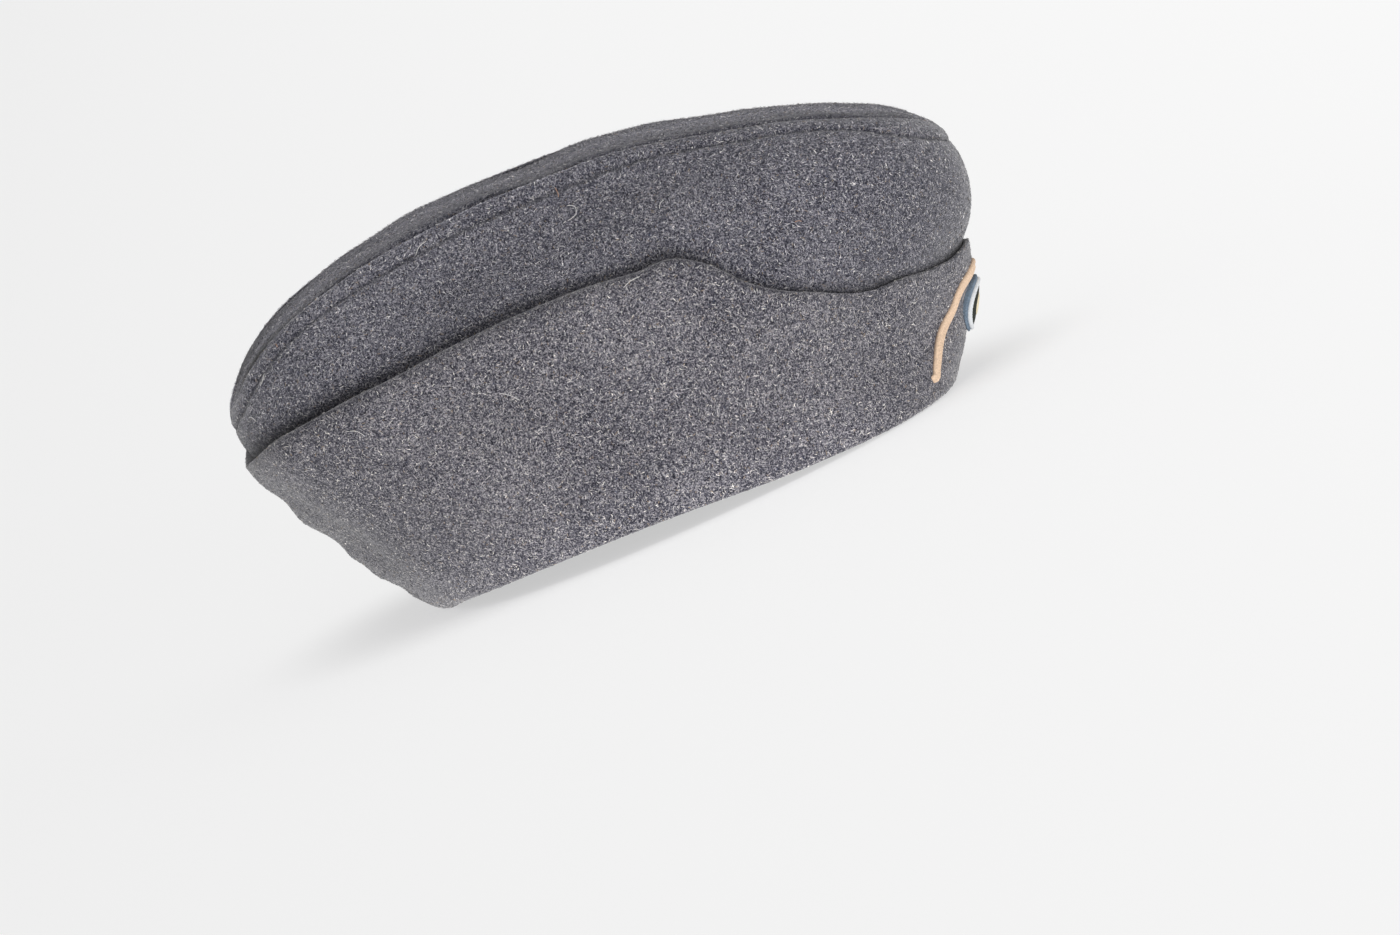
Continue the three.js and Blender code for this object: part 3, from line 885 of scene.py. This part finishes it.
# Stray hairs caught in the nap, each from one place to another.
hairs = {
    "radius": 0.1,
    "clear": 0.25,  # off the cloth at the ends
    "rise": 0.3,  # and more between them
    "stations": 12,
    "around": 5,
    "white": (0.8, 0.78, 0.75),
    "brown": (0.55, 0.3, 0.16),
    "spots": namedTable(("onFlap", "angle", "height", "toAngle", "toHeight", "bow", "brown"), [
        (0, 88.1, 124.2, 87.4, 120.1, 1.8, 0),
        (0, 87.2, 120.3, 89.4, 119.4, 0.3, 0),
        (1, 86.4, 91.0, 83.6, 92.2, 0.5, 0),
        (0, 115.0, 130.4, 113.4, 133.0, 0.7, 0),
        (1, 108.8, 74.4, 107.0, 69.3, 0.5, 0),
        (0, 145.2, 108.9, 143.6, 112.6, -0.8, 0),
        (1, 130.0, 83.0, 128.9, 79.2, 0.8, 0),
        (0, 153.0, 99.0, 150.5, 97.0, 1.0, 0),
        (0, 74.5, 109.7, 72.8, 111.8, 0.4, 0),
        (1, 91.3, 93.3, 90.4, 90.6, 0.3, 1),
        (1, 90.6, 93.5, 89.7, 91.4, 0.2, 1),
        (0, 88.5, 131.6, 88.9, 128.2, 0.2, 1),
        (0, 59.1, 86.1, 58.1, 85.3, 0.3, 1),
        (0, 139.8, 120.4, 139.2, 119.2, 0.1, 1),
    ]),
}


def hairRings():
    # between the two places, bowed sideways and lifted off the nap as sin(pi t)
    h, spots = hairs, {name: column[:, None] for name, column in hairs["spots"].items()}
    t = np.linspace(0, 1, h["stations"])
    angle = np.radians(spots["angle"] * (1 - t) + spots["toAngle"] * t)
    height = spots["height"] * (1 - t) + spots["toHeight"] * t
    onFlap = hullPoint(angle, height, flapOffset(angle, height) + capForm["flapThickness"])
    path = np.where(spots["onFlap"][..., None] > 0, onFlap, crownWall(angle, height)[0])
    facing = normalAt(hullPoint, angle, height)
    bow = np.cross(facing, unit(np.gradient(path, axis=1))) * (spots["bow"] * np.sin(np.pi * t))[..., None]
    path = path + bow + facing * (h["clear"] + h["rise"] * np.sin(np.pi * t))[:, None]
    return threadRings(path, facing, h["radius"], h["around"])


row = stitchRings()
rows = {"right": row, "left": (row * (1, -1, 1))[:, :, ::-1]}
for side in sides:
    stitches = tubesAlong("topstitching_" + side, rows[side])
    tintPoints(stitches, [stitching["colour"]])
    finishPiece(stitches, woolNap, "wool_cloth")
lint = tubesAlong("strayHairs", hairRings())
tintPoints(lint, [hairs["brown"] if brown else hairs["white"] for brown in hairs["spots"]["brown"]])
finishPiece(lint, woolNap, "wool_cloth")
print("stitches and hairs made")


# Braid chevron: a flat plaited braid sewn to the flap, its two legs falling back from the front seam.
braid = {
    "width": (4.6, 3.3),  # at the front seam and at the ends
    "thickness": 1.6,
    "sunk": 0.15,
    "tipRound": 3.0,
    "endRound": 1.2,
    "endNarrow": 0.3,  # share of the width lost at the ends
    "sidePower": 0.7,  # below 1 fills the profile's sides out
    "topPower": 0.6,
    "steps": 520,
    "around": 20,
    "groove": 0.35,  # along the middle
    "grooveWidth": 0.45,
    "plait": 0.08,  # height of the plait's ribs
    "plaitLength": 1.3,
    "plaitSlant": 0.8,
    "waver": 0.15,
    "waverSize": 14,
    "waverFrom": 6,  # away from the front seam
    "colour": (0.82, 0.60, 0.43),
    "grain": (0.8, 1.15),
    "fibre": {"Scale": 1500, "Detail": 2, "Roughness": 0.6},
    "surface": {"Roughness": 0.7, "Specular IOR Level": 0.3},
    "leg": namedTable(("along", "side", "height"), [
        (0, 0.0, 36.8), (9, 8.0, 35.2), (15, 13.2, 33.2), (19, 16.2, 30.7), (24, 18.6, 27.0),
        (30, 22.6, 23.6), (37, 27.6, 19.8), (44, 32.2, 15.4), (50, 35.2, 11.2), (54, 36.6, 8.4), (56, 38.2, 7.8),
    ]),
}


def braidRings():
    # a flattened round profile, sides |cos|^power and top sin^power, with a groove along its back and ribs
    # that slant away from it, carried along both legs of the path
    b, leg = braid, braid["leg"]
    end = leg["along"][-1]
    along = np.linspace(-end, end, b["steps"])[:, None]
    way = np.abs(along)
    side = np.sign(along) * smoothThrough(leg, "side", way)
    height = smoothThrough(leg, "height", way * (1 - bell(way, b["tipRound"])))
    place = flapFront(side, height)
    wander = b["waver"] * drift(place, b["waverSize"], seed=71) * np.clip(way / b["waverFrom"], 0, 1)
    normal = normalAt(flapFront, side, height, 0.5)
    across = unit(np.cross(normal, np.gradient(place, axis=0)))
    turn = turnAround(b["around"])
    ends = np.sqrt(np.clip((end - way) / b["endRound"], 0.02, 1))
    width = b["width"][0] + (b["width"][1] - b["width"][0]) * way / end
    profile = np.sign(np.cos(turn)) * np.abs(np.cos(turn)) ** b["sidePower"]
    wide = width / 2 * profile * (1 - b["endNarrow"] + b["endNarrow"] * ends)
    rib = b["plait"] * np.sin(2 * np.pi * (along - b["plaitSlant"] * np.abs(wide)) / b["plaitLength"])
    groove = b["groove"] * bell(wide, b["grooveWidth"])
    lift = (b["thickness"] * ends + rib - groove) * np.maximum(np.sin(turn), 0) ** b["topPower"] - b["sunk"]
    return place + across * (wide + wander)[..., None] + normal * lift[..., None]


chevron = tubesAlong("braidChevron", braidRings()[None])
braidCloth = plainCloth("braid_cloth", braid, braid["colour"], braid["grain"])
finishPiece(chevron, braidCloth, "braid", "braid_chevron")
print("braid made")


# Cockade: a felt base on the flap, a beaded ring, a dark dome and a pale boss, bent round the front seam.
cockade = {
    "height": 24.4,
    "lean": 31.0,
    "stand": 2.7,
    "bend": 14.5,
    "around": 120,
    "middle": 0.05,  # least radius
    "baseRadius": 10.9,
    "baseRound": 0.6,
    "baseSwell": 0.25,
    "seatInset": 0.7,
    "seatClear": 0.05,
    "seatMiddle": 0.5,
    "ringRadius": 9.2,
    "ringLift": 0.5,
    "ringTube": 0.85,
    "ringRows": 10,
    "beads": 46,
    "beadSwell": (0.88, 0.16),  # share of the tube between beads, and more at each
    # radius and lift down each dome, from its middle outward
    "dome": [(0.0, 1.55), (3.0, 1.5), (6.0, 1.35), (8.0, 1.05), (8.8, 0.7), (9.0, 0.2)],
    "boss": [(0.0, 2.0), (2.0, 1.95), (3.4, 1.85), (4.2, 1.65), (4.5, 1.3)],
    "domeFoot": 0.9,  # share of the last radius
    # linear colour of each layer's cloth, and its grain
    "felt": ((0.16, 0.21, 0.27), (0.65, 1.35)),
    "cord": ((0.72, 0.74, 0.76), (0.9, 1.1)),
    "dark": ((0.028, 0.032, 0.026), (0.7, 1.3)),
    "pale": ((0.8, 0.7, 0.5), (0.9, 1.1)),
    "fibre": {"Scale": 1300, "Detail": 3, "Roughness": 0.6},
    "surface": {"Roughness": 0.85, "Specular IOR Level": 0.2},
}


def cockadeFace(radius, lift):
    # ring on the face plane, which leans forward and falls back from the seam as side^2 / (2 bend)
    c, turn = cockade, turnAround(cockade["around"])
    side, rise = radius * np.cos(turn), radius * np.sin(turn)
    lean = math.radians(c["lean"])
    out = c["stand"] + lift
    x = out * math.cos(lean) + rise * math.sin(lean) - side ** 2 / (2 * c["bend"])
    z = rise * math.cos(lean) - out * math.sin(lean)
    return flapFront(0.0, c["height"]) + np.stack(np.broadcast_arrays(x, -side, z), -1)


def cockadeSeat(radius, clear):
    # ring on the flap below the leaning face, held clear of it along the normal
    c, turn = cockade, turnAround(cockade["around"])
    side = radius * np.cos(turn)
    height = c["height"] + radius * np.sin(turn) * math.cos(math.radians(c["lean"]))
    return flapFront(side, height) + clear * normalAt(flapFront, side, height, 0.5)


def cockadeBase():
    # face outward from the middle, over a rounded rim, then down to the flap
    c, r, rim = cockade, cockade["baseRadius"], cockade["baseRound"]
    rows = [cockadeFace(r * share, c["baseSwell"] * (1 - share ** 2)) for share in (0.05, 0.3, 0.6, 0.85)]
    rows += [cockadeFace(r - rim + rim * math.sin(a), rim * math.cos(a) - rim)
             for a in np.linspace(0.2, 1.57, 5)]
    seat = cockadeSeat(r - c["seatInset"], c["seatClear"])
    rows += [rows[-1] * (1 - t) + seat * t for t in (0.35, 0.7, 1.0)]
    rows.append(cockadeSeat(c["seatMiddle"], 0))
    return np.stack(rows[::-1])


def cockadeDome(profile):
    # rings down the profile, then back under it to the middle
    c = cockade
    rows = [cockadeFace(max(radius, c["middle"]), lift) for radius, lift in profile]
    rows += [cockadeFace(radius, 0.0) for radius in (profile[-1][0] * c["domeFoot"], c["middle"])]
    return np.stack(rows[::-1])


def cockadeRing():
    # a tube round the face, its thickness swelling at each bead as |sin|
    c, (least, swell) = cockade, cockade["beadSwell"]
    bead = c["ringTube"] * (least + swell * np.abs(np.sin(turnAround(c["around"]) * c["beads"] / 2)))
    return np.stack([cockadeFace(c["ringRadius"] + bead * math.cos(a), c["ringLift"] + bead * math.sin(a))
                     for a in turnAround(c["ringRows"])])


def ringMesh(name, rows):
    # a grid closed both ways
    index = np.arange(rows.shape[0] * rows.shape[1]).reshape(rows.shape[:2])
    up, along = np.roll(index, -1, axis=0), np.roll(index, -1, axis=1)
    faces = np.stack([index, along, np.roll(up, -1, axis=1), up], -1).reshape(-1, 4)
    return meshFrom(name, rows.reshape(-1, 3), faces[:, ::-1])


felt, cord, dark, pale = (plainCloth("cockade_" + layer, cockade, *cockade[layer])
                          for layer in ("felt", "cord", "dark", "pale"))
base = tubesAlong("cockadeBase", cockadeBase()[None])
finishPiece(base, felt, "cockade_blue", "cockade_base")
ring = ringMesh("cockadeRing", cockadeRing())
finishPiece(ring, cord, "cockade_white", "cockade_ring")
dome = tubesAlong("cockadeDome", cockadeDome(cockade["dome"])[None])
finishPiece(dome, dark, "cockade_black", "cockade_inner_ring")
boss = tubesAlong("cockadeBoss", cockadeDome(cockade["boss"])[None])
finishPiece(boss, pale, "cockade_cream", "cockade_boss")
print("cockade made")

# Floor, light and camera
white = (1, 1, 1, 1)
studio = {
    "floorSize": 40.0,
    "floorGap": 0.3,  # mm below the cap
    "floorColours": {"Base Color": (0.45, 0.45, 0.45, 1), "Emission Color": white},
    "floorSurface": {"Roughness": 0.9, "Specular IOR Level": 0.1},
    "floorGlow": 0.55,  # a lit table, so most light comes from below
    "glowSlope": 0.12,  # more toward the right, per metre
    "world": 0.4,
    # azimuth and elevation, strength and spread of each; the key shines through the table
    "suns": {"key": ((15, -6), 1.5, 45), "top": ((0, 80), 1.1, 40)},
}
corners = np.array([(-1, -1, 0), (1, -1, 0), (1, 1, 0), (-1, 1, 0)]) * studio["floorSize"] / 2 / mm
floor = meshFrom("floor", corners - (0, 0, studio["floorGap"]), np.array([(0, 1, 2, 3)]))
floorMaterial, shader, nodes, links = newMaterial("pale_floor", studio["floorSurface"])
setInputs(shader, studio["floorColours"])
spot = nodes.new("ShaderNodeSeparateXYZ")
links.new(nodes.new("ShaderNodeTexCoord").outputs["Object"], spot.inputs["Vector"])
glow = nodes.new("ShaderNodeMapRange")
least, most = studio["floorGlow"] - studio["glowSlope"], studio["floorGlow"] + studio["glowSlope"]
setInputs(glow, {"From Min": -1, "From Max": 1, "To Min": least, "To Max": most})
links.new(spot.outputs["X"], glow.inputs["Value"])
links.new(glow.outputs["Result"], shader.inputs["Emission Strength"])
floor.data.materials.append(floorMaterial)
floor.visible_shadow = False

world = bpy.data.worlds.new("studio")
world.use_nodes = True
setInputs(world.node_tree.nodes["Background"], {"Color": white, "Strength": studio["world"]})
scene.world = world


def directionFrom(azimuth, elevation):
    # unit vector toward an azimuth, counted from -Y toward +X, and an elevation
    a, e = math.radians(azimuth), math.radians(elevation)
    return Vector((math.sin(a) * math.cos(e), -math.cos(a) * math.cos(e), math.sin(e)))


for name, (source, strength, spread) in studio["suns"].items():
    light = bpy.data.lights.new(name, "SUN")
    light.energy = strength
    light.angle = math.radians(spread)
    lamp = bpy.data.objects.new(name, light)
    lamp.rotation_mode = "QUATERNION"
    lamp.rotation_quaternion = directionFrom(*source).to_track_quat("Z", "Y")
    scene.collection.objects.link(lamp)

view = {
    "azimuth": -1.0,
    "elevation": 7.2,
    "roll": 24.0,
    "lens": 200.0,
    "sensor": 36,
    "clipEnd": 100,
    "distance": 2.924,
    "anchor": (0.008, 0.0, 0.067),  # a point of the cap, and its place in the 1400 x 935 frame
    "anchorPixel": (634, 328),
    "frame": (1400, 935),
}
back = directionFrom(view["azimuth"], view["elevation"])
level = directionFrom(view["azimuth"] + 90, 0)
upright = back.cross(level)
roll = math.radians(view["roll"])
imageRight = math.cos(roll) * level - math.sin(roll) * upright
imageUp = math.sin(roll) * level + math.cos(roll) * upright
anchor = Vector(view["anchor"])
eye = anchor + back * view["distance"]
perPixel = view["distance"] * view["sensor"] / view["lens"] / view["frame"][0]
right, down = (size / 2 - pixel for size, pixel in zip(view["frame"], view["anchorPixel"]))
target = anchor + imageRight * right * perPixel - imageUp * down * perPixel
axisZ = (eye - target).normalized()
axisX = imageUp.cross(axisZ).normalized()
axisY = axisZ.cross(axisX)
camera = bpy.data.objects.new("camera", bpy.data.cameras.new("camera"))
camera.data.lens = view["lens"]
camera.data.sensor_width = view["sensor"]
camera.data.clip_end = view["clipEnd"]
camera.matrix_world = Matrix.Translation(eye) @ Matrix((axisX, axisY, axisZ)).transposed().to_4x4()
scene.collection.objects.link(camera)
scene.camera = camera
scene.view_settings.view_transform = "Standard"
print("stage set")
